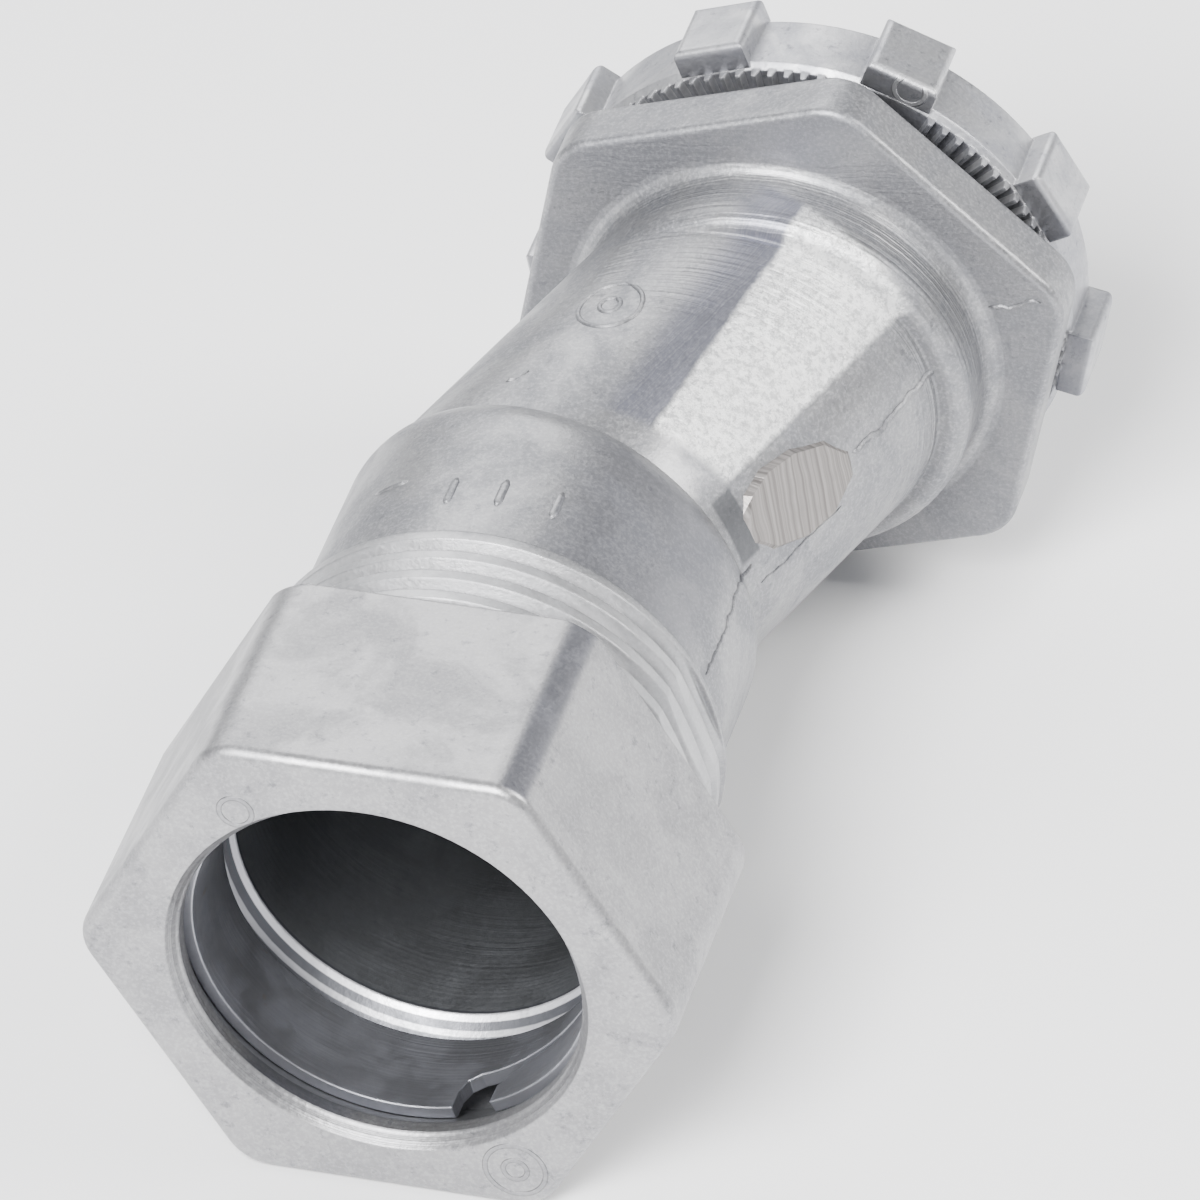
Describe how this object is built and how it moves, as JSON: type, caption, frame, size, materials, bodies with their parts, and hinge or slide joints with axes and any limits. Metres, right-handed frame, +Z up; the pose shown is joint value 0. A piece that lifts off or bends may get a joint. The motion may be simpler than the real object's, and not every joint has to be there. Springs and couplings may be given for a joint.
{
  "type": "conduit fitting",
  "caption": "Offset compression connector for thin-wall conduit: cast body, hex gland nut, split ring and lugged locknut.",
  "frame": {"origin": "centre of the hex flange's box-side seating face, on the hub axis", "axes": "+Y along the hub and conduit axes from the conduit end towards the box end, +Z up as the fitting lies on a nut flat and a locknut lug, +X to the right"},
  "size_m": [0.034, 0.0564, 0.0279],
  "materials": {
    "cast_body": "die-cast zinc, satin, fine grain",
    "cast_nut": "die-cast zinc, satin, tumbled",
    "ring_steel": "zinc-plated strip steel",
    "cast_locknut": "die-cast zinc, satin"
  },
  "bodies": {
    "body": {"connector_body": "cast_body"},
    "ring": {"compression_ring": "ring_steel"},
    "nut": {"compression_nut": "cast_nut"},
    "lock": {"locknut": "cast_locknut"}
  },
  "joints": [
    {"name": "nut_advance", "type": "slide", "parent": "body", "child": "ring", "axis": [0, 1, 0], "range_m": [-0.00423, 0.00141]},
    {"name": "nut_turn", "type": "hinge", "parent": "ring", "child": "nut", "pos_m": [-0.0065, -0.0427, -0.00207], "axis": [0, 1, 0], "range_deg": [-1080, 360]},
    {"name": "locknut_turn", "type": "hinge", "parent": "body", "child": "lock", "pos_m": [0, 0.0034, 0], "axis": [0, 1, 0], "continuous": true}
  ],
  "couplings": [
    {"joint": "nut_turn", "follows": "nut_advance", "rad_per_m": 4453}
  ]
}
